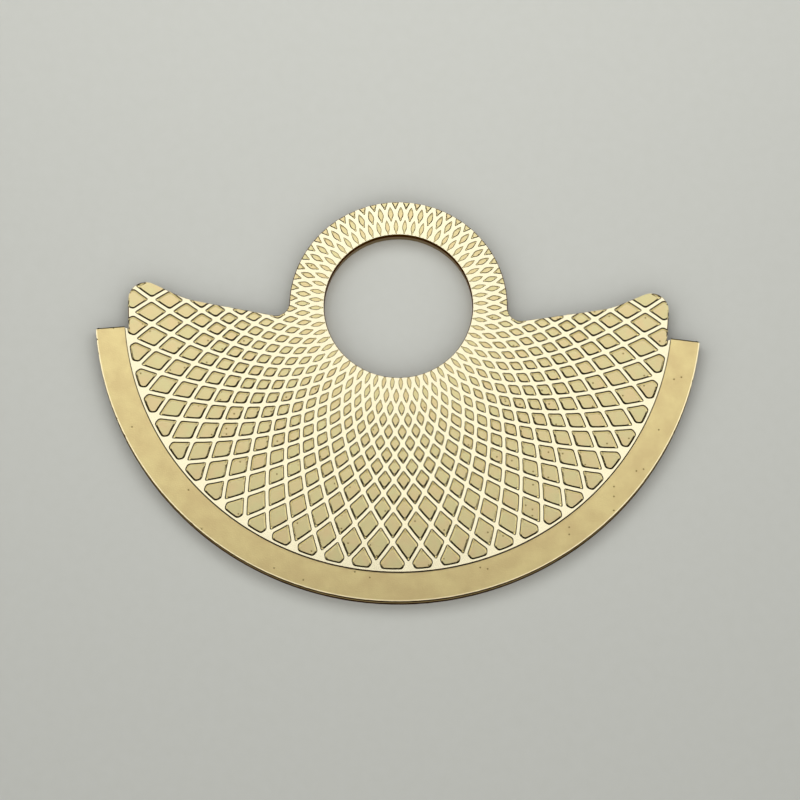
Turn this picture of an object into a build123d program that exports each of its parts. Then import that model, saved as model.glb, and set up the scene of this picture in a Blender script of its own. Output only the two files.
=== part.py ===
# Automatic winding rotor for a wrist watch: a lattice-engraved carrier plate
# nested in a heavy crescent, turning on a thin ball bearing that leaves the centre open.
#
# Frame: the origin lies on the bore axis, level with the underside. +Z points up, out of
# the engraved face. The heavy crescent hangs towards -Y and the two horns point to +X and -X.
import os
from math import cos, hypot, pi, radians, sin

from build123d import *

os.makedirs("parts", exist_ok=True)

# Plan sizes of the rotor, in millimetres, from its outer edge inwards
rotor_radius = 12.5
band_width = 1.21
horn_setback = 0.15
border_width = 0.14
lattice_inset = 0.28
weight_width = 3.3
band_end_y = -1.2

# Radius of the open centre, from which the ring, the bearing and the gear are laid out
bore_radius = 3.05

# Levels of the rotor, in millimetres above its underside
band_height = 0.6
ledge_height = 0.3
relief_depth = 0.1

# Upper outline of the plate: a horn, a knee, and a shallow valley down to the ring
horn_slope_top = 1.2
knee_inset = 2.39
knee_y = 0.11
valley_y = -1.38
horn_tip_round = 0.71
knee_round = 4.0
ring_blend = 0.55

# Heavy crescent, and the blind pins that hold it to the plate
nest_gap = 0.02
band_corner_round = 0.18
edge_break = 0.04
pin_radius = 0.3
pin_recess = 0.05
pin_bite = 0.15
pin_count = 5
pin_spacing_deg = 34.0

# Engraved lattice: two mirrored families of curved lines, raised between etched cells
lines_around = 60
closing_gap_deg = 7.0
line_width = 0.15
curve_turn_deg = 40.0
curve_shares = (1.058, 0.701, 0.354)
rows = 15
corner_cut = 0.07

# Thin bearing under the plate's ring, from the bore outwards
core_setback = 0.02
core_wall = 0.25
cone_wall = 0.29
land_gap = 0.07
outer_race_wall = 0.29
outer_race_lift = 0.02
race_nest_depth = 0.15
core_gap = 0.03
race_edge_break = 0.03
ball_radius = 0.12
ball_count = 24
ball_clearance = 0.02
cage_thickness = 0.07
cage_setback = 0.02
pocket_clearance = 0.01

# Drive gear on the outer race
gear_wall = 0.18
tooth_depth = 0.2
gear_cover = 0.08
gear_bottom = 0.05
gear_gap = 0.06
gear_teeth = 90
tooth_root_share = 0.62
tooth_tip_share = 0.3

# Length by which a cutting shape runs past what it cuts, and by which a selector may miss
overrun = 1.0
selector_reach = 0.02

# Radii worked out from the outer edge inwards
rim_radius = rotor_radius - band_width
horn_radius = rim_radius - horn_setback
border_inner_radius = rim_radius - border_width
curve_start_radius = rim_radius - lattice_inset
weight_inner_radius = rotor_radius - weight_width
pin_circle_radius = (weight_inner_radius + rim_radius) / 2
knee_x = horn_radius - knee_inset

# Radii worked out from the bore outwards
core_bore_radius = bore_radius + core_setback
core_wall_radius = core_bore_radius + core_wall
inner_land_radius = core_wall_radius + cone_wall
pitch_radius = inner_land_radius + land_gap
outer_land_radius = pitch_radius + land_gap
outer_race_radius = outer_land_radius + outer_race_wall
gear_root_radius = outer_race_radius + gear_wall
gear_tip_radius = gear_root_radius + tooth_depth
ring_radius = gear_tip_radius + gear_cover
groove_radius = ball_radius + ball_clearance

# Levels worked out from the ones above
plate_top = band_height + relief_depth
race_nest_top = ledge_height + race_nest_depth
core_height = race_nest_top - core_gap
ball_height = core_height / 2
cage_height = core_height - 2 * cage_setback
gear_thickness = ledge_height - gear_bottom - gear_gap


def curve_radius(turn):
    """Radius of a lattice line after it has turned by an angle on its way inwards."""
    t = turn / curve_turn_deg
    first, second, third = curve_shares
    return curve_start_radius * (1 - first * t + second * t**2 - third * t**3)


def line_angle(index):
    """Angle at which a line starts, from -Y, with the one wider gap centred on -Y."""
    pitch = (360 - closing_gap_deg) / (lines_around - 1)
    turns, place = divmod(index, lines_around)
    return closing_gap_deg / 2 + place * pitch + 360 * turns


def crossing(forward, backward):
    """Point where a line of the first family meets a line of the second one."""
    turn = (backward - forward) / 2
    heading = radians((backward + forward) / 2)
    radius = curve_radius(turn)
    return Vector(radius * sin(heading), -radius * cos(heading))


def inset(corners):
    """Corners moved inwards by half a line's width, each then cut across."""
    points = []
    for place, corner in enumerate(corners):
        back = (corners[place - 1] - corner).normalized()
        ahead = (corners[(place + 1) % len(corners)] - corner).normalized()
        lean = abs(back.cross(ahead).Z)
        inner = corner + (back + ahead) * (line_width / 2 / lean)
        points += [inner + back * corner_cut, inner + ahead * corner_cut]
    return points


def on_plate(point):
    """Whether a point lies inside the plate's outline, before its corners are rounded."""
    x, y = abs(point.X), point.Y
    if x < knee_x:
        shoulder = valley_y + (knee_y - valley_y) * x / knee_x
    else:
        shoulder = knee_y + (horn_slope_top - knee_y) * (x - knee_x) / (horn_radius - knee_x)
    radius = hypot(x, y)
    return bore_radius < radius < horn_radius and (y < shoulder or radius < ring_radius)


def cell_faces():
    """One flat face for each etched cell of the lattice."""
    faces = []
    for place in range(lines_around):
        forward = (line_angle(place), line_angle(place + 1))
        for row in range(rows):
            backward = (line_angle(place + row), line_angle(place + row + 1))
            corners = [
                crossing(forward[1], backward[0]),
                crossing(forward[1], backward[1]),
                crossing(forward[0], backward[1]),
                crossing(forward[0], backward[0]),
            ]
            outline = inset(corners)
            if any(on_plate(point) for point in outline):
                cell = make_face(Polyline(*outline, close=True).edges())
                inside = cell & Circle(border_inner_radius) if row == 0 else cell
                faces += inside.faces()
    return faces


def pin_places():
    """Places of the blind pins, spread evenly along the crescent."""
    first = -90 - pin_spacing_deg * (pin_count - 1) / 2
    reach = pin_spacing_deg * (pin_count - 1)
    return PolarLocations(pin_circle_radius, pin_count, first, reach, endpoint=True)


def end_cut():
    """Everything above the straight ends of the crescent."""
    with Locations((0, band_end_y)):
        Rectangle(
            2 * rotor_radius,
            2 * rotor_radius,
            align=(Align.CENTER, Align.MIN),
            mode=Mode.SUBTRACT,
        )


# Carrier plate, with its etched cells, its nest for the bearing and its blind pin holes
with BuildSketch() as rim_half:
    Circle(rim_radius)
    end_cut()

with BuildSketch(Plane.XY.offset(ledge_height)) as plate_outline:
    Circle(horn_radius)
    with BuildLine():
        Polyline(
            (-horn_radius, horn_slope_top),
            (-knee_x, knee_y),
            (0, valley_y),
            (knee_x, knee_y),
            (horn_radius, horn_slope_top),
            (horn_radius, horn_radius),
            (-horn_radius, horn_radius),
            close=True,
        )
    make_face(mode=Mode.SUBTRACT)
    tips = plate_outline.vertices().sort_by(Axis.Y)[-2:]
    fillet(tips, horn_tip_round)
    knees = plate_outline.vertices().filter_by(lambda v: abs(abs(v.X) - knee_x) < selector_reach)
    fillet(knees, knee_round)
    Circle(ring_radius)
    on_ring = plate_outline.vertices().filter_by(lambda v: abs(hypot(v.X, v.Y) - ring_radius) < selector_reach)
    fillet(on_ring.filter_by(lambda v: v.Y < 0), ring_blend)
    add(rim_half.sketch)
    Circle(bore_radius, mode=Mode.SUBTRACT)

cells = Sketch(cell_faces()).moved(Location((0, 0, band_height)))

with BuildPart() as rotor_plate:
    extrude(plate_outline.sketch, amount=plate_top - ledge_height)
    with BuildSketch(Plane.XY.offset(ledge_height)):
        Circle(outer_race_radius)
    extrude(amount=race_nest_depth, mode=Mode.SUBTRACT)
    with BuildSketch(Plane.XY.offset(ledge_height)):
        with pin_places():
            Circle(pin_radius)
    extrude(amount=pin_bite, mode=Mode.SUBTRACT)
    extrude(cells, amount=relief_depth + overrun, mode=Mode.SUBTRACT)

rotor_plate.part.label = "rotor_plate"
export_step(rotor_plate.part, "parts/rotor_plate.step")

# Heavy crescent: a full-height band outside the plate's rim, and a ledge under the plate
with BuildPart() as weight_segment:
    with BuildSketch():
        Circle(rotor_radius)
        Circle(weight_inner_radius, mode=Mode.SUBTRACT)
        end_cut()
    extrude(amount=band_height)
    uprights = weight_segment.edges().filter_by(Axis.Z)
    fillet(uprights.filter_by(lambda e: abs(e.center().X) > rim_radius), band_corner_round)
    with BuildSketch(Plane.XY.offset(ledge_height)):
        Circle(rim_radius + nest_gap)
    extrude(amount=band_height, mode=Mode.SUBTRACT)
    with BuildSketch():
        with pin_places():
            Circle(pin_radius)
    extrude(amount=ledge_height, mode=Mode.SUBTRACT)
    arcs = weight_segment.edges().filter_by(GeomType.CIRCLE)
    chamfer(arcs.filter_by(lambda e: e.radius > rotor_radius - selector_reach), edge_break)

weight_segment.part.label = "weight_segment"
export_step(weight_segment.part, "parts/weight_segment.step")

# Blind pins, pressed up through the ledge into the plate
with BuildPart() as weight_pins:
    with BuildSketch(Plane.XY.offset(pin_recess)):
        with pin_places():
            Circle(pin_radius)
    extrude(amount=ledge_height + pin_bite - pin_recess)

weight_pins.part.label = "weight_pins"
export_step(weight_pins.part, "parts/weight_pins.step")

# Outer race, pressed up into the nest under the plate's ring
with BuildPart() as outer_race:
    with BuildSketch(Plane.XZ):
        with Locations((outer_land_radius, outer_race_lift)):
            Rectangle(
                outer_race_radius - outer_land_radius,
                race_nest_top - outer_race_lift,
                align=(Align.MIN, Align.MIN),
            )
        with Locations((pitch_radius, ball_height)):
            Circle(groove_radius, mode=Mode.SUBTRACT)
    revolve(axis=Axis.Z)
    bottom = outer_race.edges().filter_by(GeomType.CIRCLE).group_by(Axis.Z)[0]
    chamfer(bottom, race_edge_break)

outer_race.part.label = "outer_race"
export_step(outer_race.part, "parts/outer_race.step")

# Inner race: a core that stays still on the movement, with the lower half of the groove
with BuildPart() as inner_race:
    with BuildSketch(Plane.XZ):
        with Locations((core_bore_radius, 0)):
            Rectangle(inner_land_radius - core_bore_radius, ball_height, align=(Align.MIN, Align.MIN))
            Rectangle(core_wall_radius - core_bore_radius, core_height, align=(Align.MIN, Align.MIN))
        with Locations((pitch_radius, ball_height)):
            Circle(groove_radius, mode=Mode.SUBTRACT)
    revolve(axis=Axis.Z)
    bottom = inner_race.edges().filter_by(GeomType.CIRCLE).group_by(Axis.Z)[0]
    chamfer(bottom, race_edge_break)

inner_race.part.label = "inner_race"
export_step(inner_race.part, "parts/inner_race.step")

# Cone: a ring pressed over the core, with the upper half of the groove
with BuildPart() as inner_cone:
    with BuildSketch(Plane.XZ):
        with Locations((core_wall_radius, ball_height)):
            Rectangle(
                inner_land_radius - core_wall_radius,
                core_height - ball_height,
                align=(Align.MIN, Align.MIN),
            )
        with Locations((pitch_radius, ball_height)):
            Circle(groove_radius, mode=Mode.SUBTRACT)
    revolve(axis=Axis.Z)

inner_cone.part.label = "inner_cone"
export_step(inner_cone.part, "parts/inner_cone.step")

# Cage: a thin ring between the races, with a round pocket for each ball
with BuildPart() as ball_cage:
    with BuildSketch(Plane.XY.offset(ball_height - cage_height / 2)):
        Circle(pitch_radius + cage_thickness / 2)
        Circle(pitch_radius - cage_thickness / 2, mode=Mode.SUBTRACT)
    extrude(amount=cage_height)
    with Locations((0, 0, ball_height)):
        with PolarLocations(pitch_radius, ball_count):
            Cylinder(
                ball_radius + pocket_clearance,
                2 * groove_radius,
                rotation=(0, 90, 0),
                mode=Mode.SUBTRACT,
            )

ball_cage.part.label = "ball_cage"
export_step(ball_cage.part, "parts/ball_cage.step")

# Balls, one in each pocket of the cage
with BuildPart() as bearing_balls:
    with Locations((0, 0, ball_height)):
        with PolarLocations(pitch_radius, ball_count):
            Sphere(ball_radius)

bearing_balls.part.label = "bearing_balls"
export_step(bearing_balls.part, "parts/bearing_balls.step")

# Drive gear: a toothed ring pressed on the outer race, hidden under the plate's ring
root_half_width = pi * gear_root_radius / gear_teeth * tooth_root_share
tip_half_width = pi * gear_tip_radius / gear_teeth * tooth_tip_share
with BuildPart() as drive_gear:
    with BuildSketch(Plane.XY.offset(gear_bottom)):
        Circle(gear_root_radius)
        with PolarLocations(0, gear_teeth):
            Polygon(
                (gear_root_radius - race_edge_break, -root_half_width),
                (gear_tip_radius, -tip_half_width),
                (gear_tip_radius, tip_half_width),
                (gear_root_radius - race_edge_break, root_half_width),
                align=None,
            )
        Circle(outer_race_radius, mode=Mode.SUBTRACT)
    extrude(amount=gear_thickness)

drive_gear.part.label = "drive_gear"
export_step(drive_gear.part, "parts/drive_gear.step")
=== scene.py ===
# %% [markdown]
# # An automatic watch rotor
#
# A self-winding watch is wound by a half-round weight that swings as the wrist moves.
# This one has a thin gold-plated plate, etched with a lattice of curved lines, nested in a
# heavy crescent. It turns on a thin ball bearing that leaves its centre open.
#
# The working parts come in as a fixed frame, already at their real size and place. The cells
# below give the plate and the crescent their fine shape, give every piece its finish, and
# print what they made.

import math

import bmesh
import bpy
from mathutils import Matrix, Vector, geometry, noise


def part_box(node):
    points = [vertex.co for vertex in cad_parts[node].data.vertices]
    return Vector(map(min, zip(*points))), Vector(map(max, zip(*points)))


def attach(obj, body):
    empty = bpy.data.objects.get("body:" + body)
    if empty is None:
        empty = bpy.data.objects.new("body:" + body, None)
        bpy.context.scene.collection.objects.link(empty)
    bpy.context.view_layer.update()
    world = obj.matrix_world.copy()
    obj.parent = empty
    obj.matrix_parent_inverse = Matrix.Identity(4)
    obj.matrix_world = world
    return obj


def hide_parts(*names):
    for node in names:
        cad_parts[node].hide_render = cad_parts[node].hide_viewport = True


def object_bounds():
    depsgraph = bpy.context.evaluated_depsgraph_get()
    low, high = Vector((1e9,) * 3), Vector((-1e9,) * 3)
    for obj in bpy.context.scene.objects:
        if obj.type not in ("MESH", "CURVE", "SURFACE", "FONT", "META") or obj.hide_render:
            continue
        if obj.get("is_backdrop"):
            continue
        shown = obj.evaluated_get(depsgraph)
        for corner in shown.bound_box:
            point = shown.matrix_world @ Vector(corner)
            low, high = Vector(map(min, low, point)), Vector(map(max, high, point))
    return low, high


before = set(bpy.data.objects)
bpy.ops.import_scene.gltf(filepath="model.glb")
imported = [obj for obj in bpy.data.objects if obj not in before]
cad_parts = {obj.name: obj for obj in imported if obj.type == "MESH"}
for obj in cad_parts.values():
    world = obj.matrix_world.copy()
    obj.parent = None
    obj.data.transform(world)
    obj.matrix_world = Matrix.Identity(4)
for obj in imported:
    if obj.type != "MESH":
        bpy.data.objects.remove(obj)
cad_low, cad_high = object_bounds()
bpy.ops.object.select_all(action="DESELECT")

# %% [markdown]
# Everything is in metres, and a watch is small, so one short name for a millimetre keeps the
# sizes readable. The main sizes are read from the frame's boxes and points. They could be typed
# again, but then the scene would no longer follow the frame when a size in it changes.

# %% Sizes read from the frame
mm = 0.001
level_tolerance = 0.001 * mm
plate_low, plate_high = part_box("rotor_plate")
weight_low, weight_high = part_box("weight_segment")

rotor_radius = -weight_low.y
rim_radius = -plate_low.y
ring_radius = plate_high.y
bore_radius = min(v.co.xy.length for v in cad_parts["rotor_plate"].data.vertices)
band_end_y = weight_high.y
band_top = weight_high.z
ledge_top = plate_low.z
plate_top = plate_high.z
race_nest_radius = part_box("outer_race")[1].x
race_nest_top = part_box("outer_race")[1].z
print(f"Rotor {2 * rotor_radius / mm:.2f} mm across")
print(f"Plate {(plate_top - ledge_top) / mm:.2f} mm thick")

# %% [markdown]
# ## The outline of the carrier plate
#
# On the real rotor the plate is etched out of sheet brass: a ring round the bearing, two
# shallow shoulders, and a pointed horn at each end that stands a little inside the rim. It
# could be traced point by point, but such a trace is hard to change. Here every stretch is a
# straight line or an arc, and the arcs are found from the sizes that a draughtsman would give.

# %% Outline of the plate
horn_setback = 0.15 * mm
horn_radius = rim_radius - horn_setback
# Where the shoulder turns up into the horn
knee = Vector((horn_radius - 2.39 * mm, 0.11 * mm))
horn_top = Vector((horn_radius, 1.2 * mm))
# Where both shoulders would meet, under the ring
valley = Vector((0, -1.38 * mm))
horn_tip_round = 0.71 * mm
knee_round = 4.0 * mm
ring_blend = 0.55 * mm
outline_step = 0.12 * mm
fewest_arc_steps = 4


def arc(centre, radius, first, last):
    """Points along an arc, from one angle to another, in radians."""
    count = max(fewest_arc_steps, math.ceil(abs(last - first) * radius / outline_step))
    turns = [first + (last - first) * k / count for k in range(count + 1)]
    return [centre + radius * Vector((math.cos(t), math.sin(t))) for t in turns]


def side_of(start, end):
    """Unit vector square to a line, on its right-hand side."""
    along = (end - start).normalized()
    return Vector((along.y, -along.x))


def centre_beside(reach, start, end, offset):
    """Point at a distance from the origin, and at an offset to the right of a line."""
    normal = side_of(start, end)
    height = start.dot(normal) + offset
    along = math.sqrt(reach**2 - height**2)
    return height * normal + along * Vector((-normal.y, normal.x))


def angle_of(vector):
    """Angle of a flat vector, in radians from +X."""
    return math.atan2(vector.y, vector.x)


def plate_half_outline():
    """Right half of the plate's outline, from the bottom of the rim to the top of the ring."""
    origin = Vector((0, 0))
    slope_side = side_of(knee, horn_top)
    shallow_side = side_of(valley, knee)
    tip = centre_beside(horn_radius - horn_tip_round, knee, horn_top, horn_tip_round)
    blend = centre_beside(ring_radius + ring_blend, valley, knee, -ring_blend)
    middle = -(shallow_side + slope_side).normalized()
    knee_centre = knee + middle * knee_round / middle.dot(-slope_side)
    points = arc(origin, rim_radius, -math.pi / 2, math.asin(band_end_y / rim_radius))
    points += arc(origin, horn_radius, math.asin(band_end_y / horn_radius), angle_of(tip))
    points += arc(tip, horn_tip_round, angle_of(tip), angle_of(-slope_side))[1:]
    points += arc(knee_centre, knee_round, angle_of(slope_side), angle_of(shallow_side))
    points += arc(blend, ring_blend, angle_of(shallow_side), angle_of(-blend))
    points += arc(origin, ring_radius, angle_of(blend), math.pi / 2)[1:]
    return points


half_outline = plate_half_outline()
mirrored = [Vector((-point.x, point.y)) for point in reversed(half_outline[1:-1])]
plate_outline = half_outline + mirrored
bore_outline = arc(Vector((0, 0)), bore_radius, 0, 2 * math.pi)[:-1]
print("Points in the plate's outline:", len(plate_outline), "and in its bore:", len(bore_outline))

# %% [markdown]
# ## The lattice
#
# Sixty curved lines start from the border and sweep inwards one way, and sixty more sweep the
# other way. One step of the round is wider, in the middle of the heavy side. The lines stay at
# full height, and the cells between them are etched down.
#
# The cells could be cut with a Boolean, which leaves long thin faces, or pressed in with a
# region inset, which folds over in the narrow cells near the bore. So each cell is drawn as a
# few outlines, one inside the other, like the contour lines of a map.

# %% Lines of the lattice
lines_around = 60
closing_gap_deg = 7.0
curve_start_radius = rim_radius - 0.28 * mm
curve_turn_deg = 40.0
# How the radius falls along a line, with its turn, the square of it and the cube of it
curve_shares = (1.058, 0.701, 0.354)
outermost_turn_deg = -6.0
turn_tolerance_deg = 0.001
ridge_half_width = 0.062 * mm
border_ridge_width = 0.09 * mm
border_middle_radius = rim_radius - border_ridge_width + ridge_half_width
rows = 15


def curve_radius(turn):
    """Radius of a lattice line after it has turned by an angle on its way inwards."""
    t = turn / curve_turn_deg
    first, second, third = curve_shares
    return curve_start_radius * (1 - first * t + second * t**2 - third * t**3)


def line_angle(index):
    """Angle at which a line starts, from -Y, with the one wider gap centred on -Y."""
    pitch = (360 - closing_gap_deg) / (lines_around - 1)
    turns, place = divmod(index, lines_around)
    return closing_gap_deg / 2 + place * pitch + 360 * turns


def crossing(forward, backward):
    """Point where a line of the first family meets a line of the second one."""
    radius = curve_radius((backward - forward) / 2)
    heading = math.radians((backward + forward) / 2)
    return Vector((radius * math.sin(heading), -radius * math.cos(heading)))


def turn_at(radius):
    """Turn at which a lattice line, drawn on outwards, reaches a radius."""
    low, high = outermost_turn_deg, 0.0
    while high - low > turn_tolerance_deg:
        middle = (low + high) / 2
        low, high = (middle, high) if curve_radius(middle) > radius else (low, middle)
    return low


border_turn = turn_at(border_middle_radius)
print(f"The lines meet the border {-border_turn:.2f} degrees before they start")


# %% [markdown]
# A cell has four corners, where the lines cross. Where the border closes it, it has one corner
# inside and four at the border, because both sharp corners there are cut off. The corners
# could be joined by straight lines, but the lattice lines bend. So each side gets its middle
# point too, which lies on its line.

# %% Corners of a cell
border_cut = 0.385 * mm


def on_border(heading_deg):
    """Point on the middle line of the border's ridge."""
    heading = math.radians(heading_deg)
    return border_middle_radius * Vector((math.sin(heading), -math.cos(heading)))


def border_cell_sides(forward, backward):
    """Corners of a cell that the border closes. Both its corners at the border are cut off."""
    left = forward + border_turn * 2
    right = backward - border_turn * 2
    apex = crossing(forward, backward)
    share = border_cut / (crossing(right, backward) - apex).length
    cut_right = right + share * (forward - right)
    cut_left = left + share * (backward - left)
    cut_angle = math.degrees(border_cut / border_middle_radius)
    rim_left = on_border(forward + border_turn + cut_angle)
    rim_right = on_border(backward - border_turn - cut_angle)
    line_left = crossing(forward, cut_left)
    line_right = crossing(cut_right, backward)
    return [
        (line_right, crossing((cut_right + forward) / 2, backward)),
        (apex, crossing(forward, (backward + cut_left) / 2)),
        (line_left, (line_left + rim_left) / 2),
        (rim_left, on_border((forward + backward) / 2)),
        (rim_right, (rim_right + line_right) / 2),
    ]


def cell_sides(place, row):
    """Corners of a cell, in order, each with the middle of the side that follows it."""
    forward = (line_angle(place), line_angle(place + 1))
    backward = (line_angle(place + row), line_angle(place + row + 1))
    if row == 0:
        return border_cell_sides(forward[0], backward[1])
    middles = (sum(forward) / 2, sum(backward) / 2)
    return [
        (crossing(forward[1], backward[0]), crossing(forward[1], middles[1])),
        (crossing(forward[1], backward[1]), crossing(middles[0], backward[1])),
        (crossing(forward[0], backward[1]), crossing(forward[0], middles[1])),
        (crossing(forward[0], backward[0]), crossing(middles[0], backward[0])),
    ]


print("Corners of a cell:", len(cell_sides(0, 1)), "and at the border:", len(cell_sides(0, 0)))

# %% [markdown]
# Each contour is the cell's outline moved inwards, with its corners rounded as an etchant
# leaves them. The first contours lie close together, because the wall is steep at the top
# and leans back below: an etchant widens what it has cut while it works its way down. A
# straight wall would be simpler, but it would lose the dark line at its top. A cell that is
# too narrow for the whole wall is etched less deep, so the small cells stay light.

# %% Contours of a cell
relief_depth = plate_top - band_top
# Each part of the wall: its slope in degrees, and its share of the depth
wall_parts = ((72, 0.45), (45, 0.2), (30, 0.35))
corner_cut = 0.11 * mm
corner_share = 0.42
corner_points = 4
shortest_side_share = 0.08
# The wall may take this share of the way in, and the rest is left for the floor
wall_share = 0.45
shallowest_share = 0.2
shallower_share = 0.9
wall_steps = [(0.0, 0.0)]
for slope_deg, depth_share in wall_parts:
    fall = relief_depth * depth_share
    out, down = wall_steps[-1]
    wall_steps.append((out + fall / math.tan(math.radians(slope_deg)), down + fall))
wall_run = wall_steps[-1][0]


def inset_corner(corner, before, after, distance):
    """A corner moved inwards, so that both its sides move by the same distance."""
    back = (before - corner).normalized()
    ahead = (after - corner).normalized()
    lean = abs(back.cross(ahead))
    return corner + (back + ahead) * (distance / lean)


def contour(sides, distance):
    """Outline of a cell at a distance inside its lines, or None where none is left."""
    count = len(sides)
    corners = []
    for k in range(count):
        before = sides[k - 1][1]
        corners.append(inset_corner(sides[k][0], before, sides[k][1], distance))
    points = []
    for k in range(count):
        corner, after, before = corners[k], corners[(k + 1) % count], corners[k - 1]
        old_side = sides[(k + 1) % count][0] - sides[k][0]
        if (after - corner).dot(old_side) < shortest_side_share * old_side.length_squared:
            return None
        back, ahead = (before - corner), (after - corner)
        cut = min(corner_cut, corner_share * back.length, corner_share * ahead.length)
        start = corner + back.normalized() * cut
        end = corner + ahead.normalized() * cut
        for step in range(corner_points + 1):
            t = step / corner_points
            points.append((1 - t) ** 2 * start + 2 * t * (1 - t) * corner + t**2 * end)
        bulge = sides[k][1] - (sides[k][0] + sides[(k + 1) % count][0]) / 2
        points.append((corner + after) / 2 + bulge)
    return points


def cell_contours(place, row):
    """Contours of a cell from the lattice lines down to its floor, each with its height."""
    sides = cell_sides(place, row)
    levels = []
    fit = 1.0
    while fit > shallowest_share:
        if contour(sides, ridge_half_width + wall_run * fit / wall_share) is not None:
            break
        fit *= shallower_share
    for out, down in wall_steps:
        points = contour(sides, ridge_half_width + out * fit)
        if points is None:
            break
        levels.append((points, plate_top - down * fit))
    return levels


sample = cell_contours(lines_around // 2, rows // 2)
print("Contours in one cell:", len(sample), "with", len(sample[0][0]), "points each")

# %% [markdown]
# Now the plate's whole face is drawn flat and triangulated at once. Triangles could be built
# cell by cell, but then the cells that the outline cuts would each need their own care. A
# constrained triangulation keeps every contour and the outline as edges, cuts them where they
# cross, and says for each triangle which outlines it lies in.

# %% Triangulate the drawing
edge_slope_width = 0.035 * mm
rim_slope_width = 0.012 * mm
cell_margin = 0.2 * mm
plate_ring, bore_ring, plate_slope_ring, bore_slope_ring = range(4)
fill_to_hull = 0
same_point_distance_in_mm = 1e-6


def moved_inwards(points, side=1):
    """A closed outline moved to its left, or right, by the width of its edge's slope."""
    result = []
    for k, point in enumerate(points):
        along = (points[(k + 1) % len(points)] - points[k - 1]).normalized()
        on_rim = abs(point.length - rim_radius) < rim_slope_width
        width = rim_slope_width if on_rim else edge_slope_width
        result.append(point + side * width * Vector((-along.y, along.x)))
    return result


def on_plate(point):
    """Whether a point lies close to the plate, so that its cell is worth drawing."""
    radius = point.length
    if radius < bore_radius - cell_margin or radius > rim_radius:
        return False
    x = abs(point.x)
    if x < knee.x:
        shoulder = valley.y + (knee.y - valley.y) * x / knee.x
    else:
        shoulder = knee.y + (horn_top.y - knee.y) * (x - knee.x) / (horn_top.x - knee.x)
    return point.y < shoulder + cell_margin or radius < ring_radius + cell_margin


def draw_plate():
    """All closed outlines of the plate's face, each with its height if it belongs to a cell."""
    rings = [
        (plate_outline, None),
        (bore_outline, None),
        (moved_inwards(plate_outline), None),
        (moved_inwards(bore_outline, side=-1), None),
    ]
    for place in range(lines_around):
        for row in range(rows):
            levels = cell_contours(place, row)
            if levels and any(on_plate(point) for point in levels[0][0]):
                rings += levels
    return rings


rings = draw_plate()
flat_points = []
flat_faces = []
for points, height in rings:
    first = len(flat_points)
    flat_points += [point / mm for point in points]
    flat_faces.append(list(range(first, first + len(points))))
drawn_points, _, drawn_faces, _, _, rings_round_face = geometry.delaunay_2d_cdt(
    flat_points, [], flat_faces, fill_to_hull, same_point_distance_in_mm
)
farthest = max(point.length for point in drawn_points)
print("Outlines:", len(rings), "points:", len(flat_points), "triangles:", len(drawn_faces))
print(f"The farthest point is {farthest:.2f} mm from the axis")

# %% [markdown]
# The flat drawing becomes a relief when its points are lifted. Triangles outside the plate or
# in the bore are dropped. Each of the others takes the height of the deepest contour round it,
# and what lies in no cell stays at the top, where the ridges are. Points on the outline go
# down to the band's level, and those beside it to half way, so the edge is a soft slope.


# %% Lift the drawing to its heights
def boundary_of(faces):
    """Numbers of the points on edges that only one face has."""
    uses = {}
    for face in faces:
        for k, point in enumerate(face):
            edge = frozenset((point, face[k - 1]))
            uses[edge] = uses.get(edge, 0) + 1
    return {point for edge, count in uses.items() if count == 1 for point in edge}


def lifted_plate():
    """Points and faces of the plate's upper face, with every cell at its depth."""
    faces = []
    height = {}
    flat_part = set()
    for face, around in zip(drawn_faces, rings_round_face):
        if plate_ring not in around or bore_ring in around:
            continue
        faces.append(face)
        level = min([rings[k][1] for k in around if k > bore_slope_ring], default=plate_top)
        for point in face:
            height[point] = min(level, height.get(point, plate_top))
        if plate_slope_ring in around and bore_slope_ring not in around:
            flat_part.update(face)
    edge_points = boundary_of(faces)
    for point in height:
        if point in edge_points:
            height[point] = min(height[point], band_top)
        elif point not in flat_part:
            height[point] = min(height[point], (plate_top + band_top) / 2)
    order = {point: k for k, point in enumerate(sorted(height))}
    points = [(*(drawn_points[p] * mm), height[p]) for p in sorted(height)]
    return points, [[order[point] for point in face] for face in faces]


def new_piece(name, points, edges=(), faces=()):
    """A new object at the origin, made of the given points, edges and faces, and made active."""
    mesh = bpy.data.meshes.new(name)
    mesh.from_pydata(points, edges, faces)
    piece = bpy.data.objects.new(name, mesh)
    bpy.context.scene.collection.objects.link(piece)
    bpy.ops.object.select_all(action="DESELECT")
    piece.select_set(True)
    bpy.context.view_layer.objects.active = piece
    return piece


plate_points, plate_faces = lifted_plate()
plate = new_piece("rotor_plate_etched", plate_points, [], plate_faces)
print("Triangles in the plate's upper face:", len(plate_faces))

# %% [markdown]
# The rest of the plate is modelled as by hand. The edge of the bore is extruded down to the
# nest for the bearing, scaled out to the nest's wall, and extruded again. The outline is
# extruded down to the ridge that etching from both faces leaves in a sheet's edge. Then the
# underside is filled, and a last inset with a depth gives it the slope of the second etching.
# A click would pick the edges for each step, and here a test on their place does.

# %% Sides and underside of the plate
etch_meeting = 0.12 * mm
back_slope_width = 0.03 * mm
nest_clearance = 0.1 * mm
ring_middle_radius = (bore_radius + race_nest_radius) / 2


def pick_edges(piece, wanted):
    """In edit mode, selects the edges that pass the test, and nothing else."""
    bpy.ops.mesh.select_all(action="DESELECT")
    bpy.ops.mesh.select_mode(type="EDGE")
    drawing = bmesh.from_edit_mesh(piece.data)
    for edge in drawing.edges:
        if wanted(edge):
            edge.select = True
    bmesh.update_edit_mesh(piece.data)


def extrude_by(offset):
    """Extrudes what is selected and moves it by an offset."""
    bpy.ops.mesh.extrude_region_move(TRANSFORM_OT_translate={"value": offset})


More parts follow.
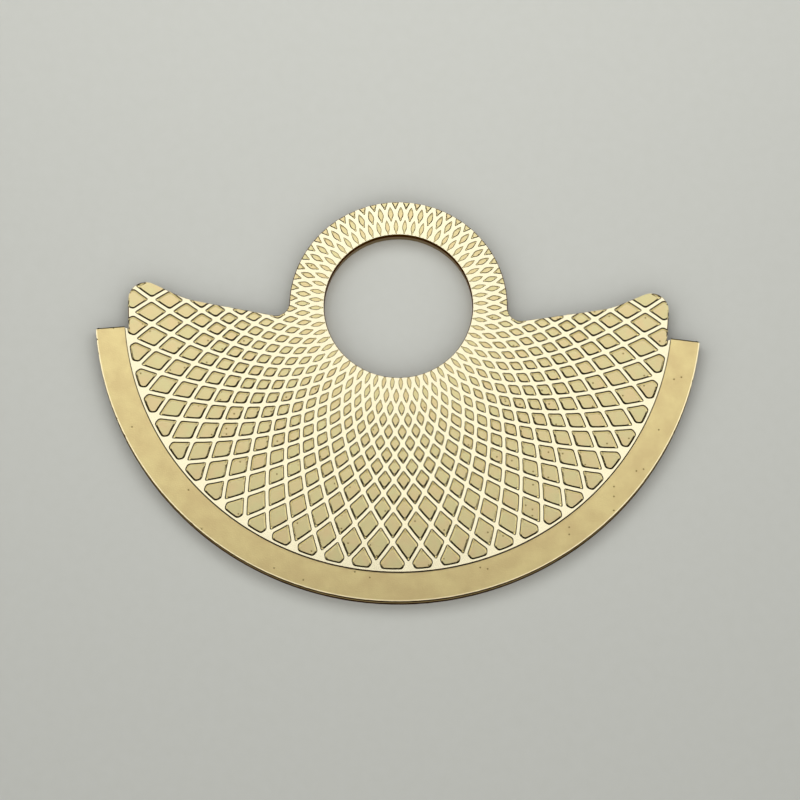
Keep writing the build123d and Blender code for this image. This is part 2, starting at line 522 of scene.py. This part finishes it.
bpy.ops.object.mode_set(mode="EDIT")
pick_edges(plate, lambda e: e.is_boundary and e.verts[0].co.xy.length < ring_middle_radius)
extrude_by((0, 0, race_nest_top - band_top))
extrude_by((0, 0, 0))
nest_scale = race_nest_radius / bore_radius
bpy.ops.transform.resize(value=(nest_scale, nest_scale, 1), center_override=(0, 0, 0))
extrude_by((0, 0, ledge_top + etch_meeting - race_nest_top))
outside_nest = race_nest_radius + nest_clearance
pick_edges(plate, lambda e: e.is_boundary and e.verts[0].co.xy.length > outside_nest)
extrude_by((0, 0, ledge_top + etch_meeting - band_top))
pick_edges(plate, lambda e: e.is_boundary)
bpy.ops.mesh.fill(use_beauty=True)
bpy.ops.mesh.normals_make_consistent(inside=False)
bpy.ops.mesh.select_all(action="DESELECT")
bpy.ops.mesh.select_mode(type="FACE")
drawing = bmesh.from_edit_mesh(plate.data)
underside_level = ledge_top + etch_meeting
for face in drawing.faces:
    face.select = all(abs(v.co.z - underside_level) < level_tolerance for v in face.verts)
bmesh.update_edit_mesh(plate.data)
bpy.ops.mesh.inset(thickness=back_slope_width, depth=etch_meeting, use_boundary=True)
bpy.ops.mesh.select_all(action="SELECT")
bpy.ops.mesh.normals_make_consistent(inside=False)
bpy.ops.object.mode_set(mode="OBJECT")
print("Faces in the whole plate:", len(plate.data.polygons))

# %% [markdown]
# ## The heavy crescent
#
# The weight is a thick band round the plate, with a ledge that runs in under it. It could be
# extruded from its plan, but its section is the same all the way round, so it is spun like a
# turned part, and both ends are cut off. The cut keeps the points that lie within a tenth of a
# millimetre of its plane, so the ends stand that much past the frame's. Its outer edge is
# etched from both faces, so it is hollow above and below, and a thin ridge is left in the
# middle.

# %% Section of the crescent
cad_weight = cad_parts["weight_segment"].data
weight_inner_radius = min(v.co.xy.length for v in cad_weight.vertices)
nest_gap = 0.02 * mm
# Points up the outer wall: height, and how far it stands in from the rim, in mm
wall_section = (
    (0, 0.004),
    (0.05, 0.014),
    (0.14, 0.024),
    (0.24, 0.012),
    (0.28, 0.0),
    (0.32, 0.012),
    (0.42, 0.03),
    (0.52, 0.03),
    (0.58, 0.016),
    (0.6, 0.002),
)
spin_steps = 960


def crescent_section():
    """Section of the crescent: distance from the axis, and height."""
    section = [(weight_inner_radius, 0)]
    section += [(rotor_radius - inset * mm, level * mm) for level, inset in wall_section]
    section += [
        (rim_radius + nest_gap, band_top),
        (rim_radius + nest_gap, ledge_top),
        (weight_inner_radius, ledge_top),
    ]
    return section


section = crescent_section()
around = range(len(section))
weight = new_piece(
    "weight_segment_spun",
    [(radius, 0, level) for radius, level in section],
    [(k, (k + 1) % len(section)) for k in around],
)
bpy.ops.object.mode_set(mode="EDIT")
bpy.ops.mesh.select_all(action="SELECT")
bpy.ops.mesh.spin(steps=spin_steps, angle=math.pi, center=(0, 0, 0), axis=(0, 0, 1))
bpy.ops.mesh.select_all(action="SELECT")
bpy.ops.mesh.bisect(
    plane_co=(0, band_end_y, 0), plane_no=(0, 1, 0), use_fill=True, clear_outer=True
)
bpy.ops.mesh.select_all(action="SELECT")
bpy.ops.mesh.normals_make_consistent(inside=False)
bpy.ops.object.mode_set(mode="OBJECT")
end_y = max(v.co.y for v in weight.data.vertices)
print("Faces in the crescent:", len(weight.data.polygons))
print(f"Its ends lie at {end_y / mm:.2f} mm, and the frame's at {band_end_y / mm:.2f} mm")

# %% [markdown]
# The real edge is not a perfect circle: it has the slight waviness of etching, a few nicks,
# and rounded corners at both ends. A bevel could round the corners, but not the rest. So all
# of it is done by small moves of the points in the outer wall, which keep the mesh as it is.

# %% Wear on the crescent's edge
corner_round = 0.13 * mm
worn_from_radius = rotor_radius - 0.1 * mm
wave_height = 0.008 * mm
wave_length = 0.5 * mm
fray_height = 0.006 * mm
fray_length = 0.12 * mm
# Each nick: its heading in degrees, its depth in mm and half its width in mm
nicks = (
    (-172.2, 0.055, 0.06),
    (-169.4, 0.02, 0.05),
    (-164.0, 0.018, 0.04),
    (-156.2, 0.025, 0.05),
    (-152.5, 0.02, 0.08),
    (-131.0, 0.015, 0.06),
    (-24.0, 0.015, 0.05),
    (-13.5, 0.02, 0.06),
)


def nick_depth(heading_deg):
    """How far the edge is dented at a heading."""
    depth = 0
    for middle, deep, half_width in nicks:
        away = math.radians(heading_deg - middle) * rotor_radius / (half_width * mm)
        depth = max(depth, deep * mm * max(0, 1 - abs(away)))
    return depth


def wear_crescent(piece):
    """Rounds the end corners and makes the outer wall slightly uneven."""
    for vertex in piece.data.vertices:
        place = vertex.co
        radius = place.xy.length
        if radius < worn_from_radius:
            continue
        heading = math.degrees(math.atan2(place.y, place.x))
        from_corner = min(max(1 - (band_end_y - place.y) / corner_round, 0), 1)
        rounding = corner_round * (1 - math.sqrt(1 - from_corner**2))
        place.x -= math.copysign(rounding, place.x)
        place.x = min(max(place.x, weight_low.x), weight_high.x)
        wave = noise.noise(place / wave_length) * wave_height
        fray = noise.noise(place / fray_length) * fray_height
        pull = nick_depth(heading) + abs(wave) + abs(fray)
        place.xy *= (radius - pull) / radius
        place.y = min(place.y, band_end_y)


wear_crescent(weight)
farthest = max(v.co.xy.length for v in weight.data.vertices)
print(f"The worn crescent reaches {farthest / mm:.3f} mm from the axis")

# %% [markdown]
# Five blind pins come up from below, through the ledge, and hold the crescent to the plate. So
# the ledge needs five holes. They could be left out of the spun mesh, but that would break its
# even rings of faces. A Boolean with short cylinders drills them, as a drill does.

# %% Pin holes in the ledge
pin_reaches = [v.co.xy.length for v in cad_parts["weight_pins"].data.vertices]
pin_radius = (max(pin_reaches) - min(pin_reaches)) / 2
pin_circle_radius = max(pin_reaches) - pin_radius
pin_spacing_deg = 34.0
pin_count = 5
drill_sides = 48
drill_overrun = 1.0 * mm


def drill_pin_holes(piece):
    """Cuts a round hole through the ledge for each blind pin."""
    for k in range(pin_count):
        turn = math.radians(-90 + (k - (pin_count - 1) / 2) * pin_spacing_deg)
        place = (pin_circle_radius * math.cos(turn), pin_circle_radius * math.sin(turn), 0)
        bpy.ops.mesh.primitive_cylinder_add(
            vertices=drill_sides,
            radius=pin_radius,
            depth=2 * ledge_top + drill_overrun,
            location=place,
        )
        drill = bpy.context.object
        cut = piece.modifiers.new("pin_hole", "BOOLEAN")
        cut.operation = "DIFFERENCE"
        cut.object = drill
        bpy.ops.object.select_all(action="DESELECT")
        bpy.context.view_layer.objects.active = piece
        piece.select_set(True)
        bpy.ops.object.modifier_apply(modifier=cut.name)
        bpy.data.objects.remove(drill)


drill_pin_holes(weight)
print("Faces in the drilled crescent:", len(weight.data.polygons))

# %% [markdown]
# ## Finishes
#
# Colours are given as a person reads them off a screen, in sRGB, and one function turns them
# to the linear values that the shader wants. Nodes could be placed one by one in an editor. In
# a script they are easier to read when one function adds a node with its settings and links.


# %% Helpers for finishes
def linear(hex_colour):
    """A colour such as "c8c4b8", as linear red, green, blue and alpha."""
    parts = [int(hex_colour[k : k + 2], 16) / 255 for k in (0, 2, 4)]
    return (*[p / 12.92 if p <= 0.04045 else ((p + 0.055) / 1.055) ** 2.4 for p in parts], 1.0)


def add_node(tree, kind, inputs=(), **settings):
    """Adds a node, sets its properties, and fills each input with a value or a link."""
    node = tree.nodes.new(kind)
    for name, value in settings.items():
        setattr(node, name, value)
    for name, value in dict(inputs).items():
        if isinstance(value, bpy.types.NodeSocket):
            tree.links.new(value, node.inputs[name])
        else:
            node.inputs[name].default_value = value
    return node


def new_finish(name, **sockets):
    """A material with its shader's own sockets set, and the place on the object for patterns."""
    material = bpy.data.materials.new(name)
    material.use_nodes = True
    tree = material.node_tree
    shader = tree.nodes["Principled BSDF"]
    for socket, value in sockets.items():
        shader.inputs[socket.replace("_", " ").title()].default_value = value
    place = add_node(tree, "ShaderNodeTexCoord").outputs["Object"]
    return material, tree, shader, place


print("Middle grey in linear light:", [round(value, 3) for value in linear("808080")])

# %% [markdown]
# The plate and the crescent are brass with a thin coat of gold. Where the etchant has bitten,
# the gold is matte, with a fine grain and here and there a dark pit. A painted picture could
# show this, but noise patterns with real sizes stay sharp at any distance.

# %% Matte gold
# A real etched grain is finer still, and this one is as coarse as it must be to show
grain_size = 0.06 * mm
grain_depth = 0.02 * mm
grain_strength = 0.25
tone_size = 0.8 * mm
# The middle part of the noise is spread over both tones
tone_from = 0.35
tone_to = 0.65
pit_spacing = 0.3 * mm
pit_floor_share = 0.05
pit_rim_share = 0.16
# Brown residue in a pit: it reads as a small dark dot
pit_colour = "75612f"
# At a grazing view bare metal turns white, but this dull gold stays warm
grazing_colour = "c09848"


def matte_gold(name, bright, shade, pit_amount, roughness):
    """Etched gold plate: two close tones, a fine grain, and a few pits."""
    material, tree, shader, place = new_finish(
        name, metallic=1.0, roughness=roughness, specular_tint=linear(grazing_colour)
    )
    tone = add_node(
        tree,
        "ShaderNodeTexNoise",
        {"Vector": place, "Scale": 1 / tone_size, "Detail": 3.0},
    )
    grain = add_node(
        tree,
        "ShaderNodeTexNoise",
        {"Vector": place, "Scale": 1 / grain_size, "Detail": 2.0},
    )
    pits = add_node(
        tree,
        "ShaderNodeTexVoronoi",
        {"Vector": place, "Scale": 1 / pit_spacing},
        voronoi_dimensions="2D",
    )
    pit_edge = add_node(
        tree,
        "ShaderNodeMapRange",
        {
            "Value": pits.outputs["Distance"],
            "From Min": pit_floor_share,
            "From Max": pit_rim_share,
            "To Min": 1.0,
            "To Max": 0.0,
        },
    )
    pit_lot = add_node(tree, "ShaderNodeSeparateColor", {"Color": pits.outputs["Color"]})
    pit_choice = add_node(
        tree,
        "ShaderNodeMath",
        {0: pit_lot.outputs["Red"], 1: 1 - pit_amount},
        operation="GREATER_THAN",
    )
    pit = add_node(
        tree,
        "ShaderNodeMath",
        {0: pit_edge.outputs["Result"], 1: pit_choice.outputs["Value"]},
        operation="MULTIPLY",
    )
    tone_share = add_node(
        tree,
        "ShaderNodeMapRange",
        {"Value": tone.outputs["Fac"], "From Min": tone_from, "From Max": tone_to},
    )
    blotch = add_node(
        tree,
        "ShaderNodeMix",
        {"Factor": tone_share.outputs["Result"], "A": linear(bright), "B": linear(shade)},
        data_type="RGBA",
    )
    colour = add_node(
        tree,
        "ShaderNodeMix",
        {
            "Factor": pit.outputs["Value"],
            "A": blotch.outputs["Result"],
            "B": linear(pit_colour),
        },
        data_type="RGBA",
    )
    height = add_node(
        tree,
        "ShaderNodeMath",
        {0: grain.outputs["Fac"], 1: pit.outputs["Value"]},
        operation="SUBTRACT",
    )
    bump = add_node(
        tree,
        "ShaderNodeBump",
        {"Height": height.outputs["Value"], "Strength": grain_strength, "Distance": grain_depth},
    )
    tree.links.new(colour.outputs["Result"], shader.inputs["Base Color"])
    tree.links.new(bump.outputs["Normal"], shader.inputs["Normal"])
    return material


print(f"Grain {grain_size / mm:.2f} mm, pits at most every {pit_spacing / mm:.1f} mm")

# %% [markdown]
# The ridges kept the polish of the rolled sheet, so they mirror the light above and look almost
# white. One even gloss could do, but then they look like glass. Faint rubbing marks, as large
# as the blotches in the matte gold, change the gloss from place to place.

# %% Polished gold
smoothest_ridge = 0.12
dullest_ridge = 0.2


def polished_gold(bright, shade):
    """Rolled and plated, with faint rubbing marks that change the gloss."""
    material, tree, shader, place = new_finish("polished_gold_plate", metallic=1.0)
    tone = add_node(
        tree,
        "ShaderNodeTexNoise",
        {"Vector": place, "Scale": 1 / tone_size, "Detail": 4.0},
    )
    colour = add_node(
        tree,
        "ShaderNodeMix",
        {"Factor": tone.outputs["Fac"], "A": linear(bright), "B": linear(shade)},
        data_type="RGBA",
    )
    gloss = add_node(
        tree,
        "ShaderNodeMapRange",
        {"Value": tone.outputs["Fac"], "To Min": smoothest_ridge, "To Max": dullest_ridge},
    )
    tree.links.new(colour.outputs["Result"], shader.inputs["Base Color"])
    tree.links.new(gloss.outputs["Result"], shader.inputs["Roughness"])
    return material


# Rolled and polished: mirrors the sky, so the ridges are the brightest thing in sight
polished = polished_gold(bright="ede5c3", shade="eae0bd")
print("The ridges are", polished.name)

# %% [markdown]
# Six kinds of matte gold differ in colour, pits and gloss, because the etchant has treated each
# place differently, and two of them carry painted shade. One kind for all would be simpler, but
# it would lose the painted dark line round each cell and the painted brown shade on the edges.

# %% Kinds of matte gold
# Etched flat and plated: a soft, slightly green gold, darker than the ridges
etched_floor = matte_gold(
    "etched_gold_floor", bright="cec491", shade="d3bf8f", pit_amount=0.12, roughness=0.34
)
# The foot of the wall, where the etchant ran smoothly: a thin glint on the side to the light
etched_wall = matte_gold(
    "etched_gold_wall", bright="d6c893", shade="cebd85", pit_amount=0.0, roughness=0.18
)
# The steep top of the wall, painted dark as shade: the dark line round each cell
shaded_wall_top = matte_gold(
    "painted_shade_wall_top", bright="523c14", shade="40300f", pit_amount=0.0, roughness=0.22
)
# The outer edges, painted dark brown as shade: a brown line under the bright faces
shaded_edge = matte_gold(
    "painted_shade_gold_edge", bright="4a3818", shade="342810", pit_amount=0.0, roughness=0.35
)
# The crescent's face, etched as the floors are but coarser: warm, even gold
matte_band = matte_gold(
    "matte_gold_band", bright="dac88f", shade="d0bb86", pit_amount=0.05, roughness=0.34
)
# The ridge in the crescent's edge, left plain gold: a thin light line in the painted shade
worn_ridge = matte_gold(
    "worn_gold_ridge", bright="dccb95", shade="d0bb86", pit_amount=0.0, roughness=0.3
)
for finish in (etched_floor, etched_wall, shaded_wall_top, shaded_edge, matte_band, worn_ridge):
    print("Matte gold:", finish.name)

# %% [markdown]
# The crescent's face ends in a narrow painted highlight, where the light catches the edge. A
# strip of its own faces could carry it, but the line should fade softly inwards. So the band's
# colour is mixed towards a brighter gold by the distance from the axis.

# %% Painted highlight along the rim
# Pale gold for the painted highlight, where the rim catches the light
rim_highlight_colour = "fff0c2"
rim_highlight_width = 0.04 * mm
rim_highlight_fade = 0.02 * mm


def add_radius(tree, place):
    """Adds what turns a place into its distance from the rotor's axis, and its height."""
    parts = add_node(tree, "ShaderNodeSeparateXYZ", {"Vector": place})
    flat = add_node(
        tree,
        "ShaderNodeCombineXYZ",
        {"X": parts.outputs["X"], "Y": parts.outputs["Y"]},
    )
    length = add_node(
        tree,
        "ShaderNodeVectorMath",
        {0: flat.outputs["Vector"]},
        operation="LENGTH",
    )
    return length.outputs["Value"], parts.outputs["Z"]


def paint_rim_highlight(material):
    """Paints a narrow highlight along the crescent's outer edge."""
    tree = material.node_tree
    shader = tree.nodes["Principled BSDF"]
    plain = shader.inputs["Base Color"].links[0].from_socket
    place = add_node(tree, "ShaderNodeTexCoord").outputs["Object"]
    radius, _ = add_radius(tree, place)
    line_start = rotor_radius - rim_highlight_width
    highlit = add_node(
        tree,
        "ShaderNodeMapRange",
        {"Value": radius, "From Min": line_start - rim_highlight_fade, "From Max": line_start},
    )
    colour = add_node(
        tree,
        "ShaderNodeMix",
        {"Factor": highlit.outputs["Result"], "A": plain, "B": linear(rim_highlight_colour)},
        data_type="RGBA",
    )
    tree.links.new(colour.outputs["Result"], shader.inputs["Base Color"])


paint_rim_highlight(matte_band)
print(f"The rubbed line is {rim_highlight_width / mm:.2f} mm wide")

# %% [markdown]
# Now each face gets its finish. On the real plate the finish follows from how the face was made,
# so here it follows from the face's height and slope; steep wall tops and low edges get painted
# shade. Faces could be painted by hand, but there are over a hundred thousand of them.

# %% Finish of the plate
steep_slope_deg = 38.0
level_face_normal = 0.98
plate_finishes = (polished, etched_floor, etched_wall, shaded_edge, shaded_wall_top)
on_ridge, on_floor, on_wall, on_shaded_edge, on_shaded_wall_top = range(len(plate_finishes))


def finish_plate(piece):
    """Polish on the ridges, matte gold below them, and painted shade on steep walls and the edge.
    """
    for finish in plate_finishes:
        piece.data.materials.append(finish)
    steep_face_normal = math.cos(math.radians(steep_slope_deg))
    for face in piece.data.polygons:
        lowest = min(piece.data.vertices[v].co.z for v in face.vertices)
        upward = abs(face.normal.z)
        if lowest > plate_top - level_tolerance:
            face.material_index = on_ridge
        # Side walls below the band get the painted shade of the edge
        elif lowest < band_top - level_tolerance and upward < level_face_normal:
            face.material_index = on_shaded_edge
        elif upward > level_face_normal:
            face.material_index = on_floor
        # Steep wall tops get painted shade, the dark line round each cell
        elif upward < steep_face_normal:
            face.material_index = on_shaded_wall_top
        else:
            face.material_index = on_wall


finish_plate(plate)
used = [face.material_index for face in plate.data.polygons]
for slot, finish in enumerate(plate_finishes):
    print(finish.name, "on", used.count(slot), "faces of the plate")

# %% [markdown]
# The crescent has matte faces and an edge with painted shade. The thin ridge in that edge, where
# both etchings met, stands out and keeps the plain gold. One finish for the whole edge would be
# simpler, but it would lose that thin light line, so the ridge gets a finish of its own.

# %% Finish of the crescent
band_face_normal = 0.8
ridge_level = 0.28 * mm
ridge_reach = 0.04 * mm
crescent_finishes = (matte_band, shaded_edge, worn_ridge)
on_band, in_shaded_hollow, on_worn_ridge = range(len(crescent_finishes))


def finish_crescent(piece):
    """Matte gold, painted shade in the etched edge, and a plain gold ridge where both etchings met.
    """
    for finish in crescent_finishes:
        piece.data.materials.append(finish)
    for face in piece.data.polygons:
        at_rim = face.center.xy.length > worn_from_radius
        if abs(face.normal.z) > band_face_normal:
            face.material_index = on_band
        elif at_rim and abs(face.center.z - ridge_level) < ridge_reach:
            face.material_index = on_worn_ridge
        # The rest of the edge gets painted shade
        else:
            face.material_index = in_shaded_hollow


finish_crescent(weight)
used = [face.material_index for face in weight.data.polygons]
for slot, finish in enumerate(crescent_finishes):
    print(finish.name, "on", used.count(slot), "faces of the crescent")

# %% [markdown]
# ## Who rides on what
#
# The plate and the crescent stand for their plain frame nodes and turn with the rotor. They
# could be parented by hand, but here each is hung from the rotor's empty and its node is hidden.

# %% Seat the new pieces
for piece, node, slot in (
    (plate, "rotor_plate", "plate"),
    (weight, "weight_segment", "weight"),
):
    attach(piece, "rotor")
    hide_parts(node)
    print(piece.name, "rides on the rotor and replaces", node)

# %% [markdown]
# ## The bearing
#
# The bearing sits under the ring. From above only the wall of its core shows, as the wall of
# the hole, and in low views the gear shows below the ring. Their plain frame shapes are
# right as they are, so they only get finishes. Most are turned or ground, which leaves fine
# grooves round the axis. A round picture could show them, but noise that follows the radius
# and the height fits every face. Real grooves are finer still, and would not show at all.


# %% Finishes of the bearing
groove_depth = 0.01 * mm
groove_strength = 0.15
smooth_groove_share = 0.7
rough_groove_share = 1.4


def turned_metal(name, bright, shade, roughness, line_spacing):
    """A turned or ground ring: fine grooves round the axis change the gloss."""
    material, tree, shader, place = new_finish(name, metallic=1.0)
    radius, height = add_radius(tree, place)
    groove_place = add_node(tree, "ShaderNodeCombineXYZ", {"X": radius, "Y": height})
    groove = add_node(
        tree,
        "ShaderNodeTexNoise",
        {"Vector": groove_place.outputs["Vector"], "Scale": 1 / line_spacing, "Detail": 3.0},
    )
    colour = add_node(
        tree,
        "ShaderNodeMix",
        {"Factor": groove.outputs["Fac"], "A": linear(bright), "B": linear(shade)},
        data_type="RGBA",
    )
    gloss = add_node(
        tree,
        "ShaderNodeMapRange",
        {
            "Value": groove.outputs["Fac"],
            "To Min": roughness * smooth_groove_share,
            "To Max": roughness * rough_groove_share,
        },
    )
    bump = add_node(
        tree,
        "ShaderNodeBump",
        {
            "Height": groove.outputs["Fac"],
            "Strength": groove_strength,
            "Distance": groove_depth,
        },
    )
    tree.links.new(colour.outputs["Result"], shader.inputs["Base Color"])
    tree.links.new(gloss.outputs["Result"], shader.inputs["Roughness"])
    tree.links.new(bump.outputs["Normal"], shader.inputs["Normal"])
    return material


# Ground race: cool grey, with a faint turned sheen
ground_steel = turned_metal("ground_bearing_steel", "c4c5c8", "aeb0b5", 0.28, 0.02 * mm)
# Gilt core, painted darker as shade: a dark, dull gold on the wall of the hole
gilt_shaded_steel = turned_metal("gilt_steel_painted_shade", "957a3c", "7d6430", 0.35, 0.02 * mm)
# Polished balls: nearly a mirror, so each is one bright point
polished_steel = turned_metal("polished_ball_steel", "dcdde0", "d2d4d8", 0.08, 0.2 * mm)
# Stamped cage: yellow and a little dull
stamped_brass = turned_metal("stamped_brass", "d8bd7c", "c9ab68", 0.38, 0.03 * mm)
# Cut gear: the same yellow, a little brighter and glossier
cut_brass = turned_metal("cut_gear_brass", "dcc383", "cfb26f", 0.3, 0.02 * mm)
# Turned pins: small yellow discs in the ledge, seen only from below
turned_brass = turned_metal("turned_pin_brass", "d6bd80", "c6aa6a", 0.3, 0.02 * mm)
for node, finish in (
    ("outer_race", ground_steel),
    ("inner_race", gilt_shaded_steel),
    ("inner_cone", gilt_shaded_steel),
    ("bearing_balls", polished_steel),
    ("ball_cage", stamped_brass),
    ("drive_gear", cut_brass),
    ("weight_pins", turned_brass),
):
    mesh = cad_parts[node].data
    mesh.materials.clear()
    mesh.materials.append(finish)
    print(node, "is", finish.name)

# %% [markdown]
# ## Floor, camera and light
#
# The rotor lies on a pale, matte sheet. One big plane is enough. It reaches far past the
# picture, because the polished metal also mirrors what is beside it.

# %% Floor
floor_half_size = 2.0
fibre_size = 0.5 * mm
paper_shine = 0.1
bpy.ops.mesh.primitive_plane_add(size=2 * floor_half_size, location=(0, 0, 0))
floor = bpy.context.object
floor.name = "paper_floor"
# Uncoated paper: pale grey, hardly any shine, with faint fibres drawn coarse enough to show
paper, tree, shader, place = new_finish("pale_paper", roughness=0.9)
fibre = add_node(
    tree,
    "ShaderNodeTexNoise",
    {"Vector": place, "Scale": 1 / fibre_size, "Detail": 4.0},
)
paper_tone = add_node(
    tree,
    "ShaderNodeMix",
    {"Factor": fibre.outputs["Fac"], "A": linear("d5d6cf"), "B": linear("d1d2ca")},
    data_type="RGBA",
)
tree.links.new(paper_tone.outputs["Result"], shader.inputs["Base Color"])
shader.inputs["Specular IOR Level"].default_value = paper_shine
floor.data.materials.append(paper)
floor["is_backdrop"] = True
print("The floor is", 2 * floor_half_size, "m wide")

# %% [markdown]
# The camera looks down steeply, from the rotor's heavy side. Its tilt, its small turn and its
# lens were fitted to the photograph's ring, rim and horns. It could be dragged into place by
# eye, but then the picture would never lie exactly over the photograph.

# %% Camera
camera_tilt_deg = 15.55
camera_turn_deg = -1.323
camera_lens = 280.2
sensor_width = 36.0
aim_depth = 255.5 * mm
aim_across = 0.066 * mm
aim_down = 4.026 * mm
nearest_seen = 0.01
farthest_seen = 10

turn = math.radians(camera_turn_deg)
tilt = math.radians(camera_tilt_deg)
ahead = Vector((math.sin(turn), math.cos(turn), 0))
right = Vector((math.cos(turn), -math.sin(turn), 0))
aim = Vector((0, 0, plate_top)) + aim_across * right - aim_down * ahead
look = math.sin(tilt) * ahead - math.cos(tilt) * Vector((0, 0, 1))

camera = bpy.data.objects.new("camera", bpy.data.cameras.new("camera"))
bpy.context.scene.collection.objects.link(camera)
camera.data.sensor_width = sensor_width
camera.data.lens = camera_lens
camera.data.clip_start = nearest_seen
camera.data.clip_end = farthest_seen
camera.location = aim - aim_depth * look
camera.rotation_mode = "QUATERNION"
camera.rotation_quaternion = look.to_track_quat("-Z", "Y")
bpy.context.scene.camera = camera
print("Camera at, in mm:", [round(value / mm, 1) for value in camera.location])

# %% [markdown]
# Polished metal shows what is above it, so the light is a sky made of soft boxes. Four far
# boxes, in the south, the middle, the west and the east, light the matte gold. The ridges
# mirror a near box, a little north of straight above, and two more near boxes light the left
# and right of the ring. The low north stays dark, and each wall that faces it becomes a dark
# line. A picture of a studio could give the same sky, but boxes are easier to change one by
# one. Each one is level, and is given by the angles that it fills, as seen from the rotor.

# %% Light
near_height = 0.05
far_height = 0.4
whole_width = (-74, 74)
middle_width = (-30, 30)
studio_dark = "303030"


def soft_box(name, height, north_deg, east_deg, radiance):
    """A level lamp over the object, between angles from the zenith, north and east."""
    south, north, west, east = (height * math.tan(math.radians(a)) for a in (*north_deg, *east_deg))
    lamp = bpy.data.lights.new(name, "AREA")
    lamp.shape = "RECTANGLE"
    lamp.size = east - west
    lamp.size_y = north - south
    lamp.energy = radiance * math.pi * (east - west) * (north - south)
    box = bpy.data.objects.new(name, lamp)
    bpy.context.scene.collection.objects.link(box)
    box.location = ((west + east) / 2, (south + north) / 2, height)
    box.visible_camera = False
    print(f"{name}: {lamp.size:.2f} m by {lamp.size_y:.2f} m")


soft_box("south_box", far_height, (-72, -33), whole_width, 0.95)
soft_box("middle_box", far_height, (-33, -1), middle_width, 0.7)
soft_box("west_box", far_height, (-33, 42), (-74, -33), 1.05)
soft_box("east_box", far_height, (-33, 42), (33, 74), 0.95)
soft_box("mirror_box", near_height, (-1, 23), middle_width, 1.22)
soft_box("north_west_box", near_height, (23, 48), (-30, 0), 2.1)
soft_box("north_east_box", near_height, (23, 48), (0, 30), 1.55)

world = bpy.data.worlds.new("studio")
bpy.context.scene.world = world
world.use_nodes = True
world.node_tree.nodes["Background"].inputs["Color"].default_value = linear(studio_dark)
world.node_tree.nodes["Background"].inputs["Strength"].default_value = 1.0
bpy.context.scene.view_settings.view_transform = "Standard"

# %% [markdown]
# Last, the sizes of what is seen are measured and printed beside the frame's own. Fine shapes
# could have grown past the frame's box without anyone seeing it, and this would show it.

# %% Sizes, and the end
seen_low, seen_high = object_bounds()
sizes = {
    "cad_low": list(cad_low),
    "cad_high": list(cad_high),
    "seen_low": list(seen_low),
    "seen_high": list(seen_high),
}
for name, corner in sizes.items():
    print(name, "in mm:", [round(value / mm, 3) for value in corner])
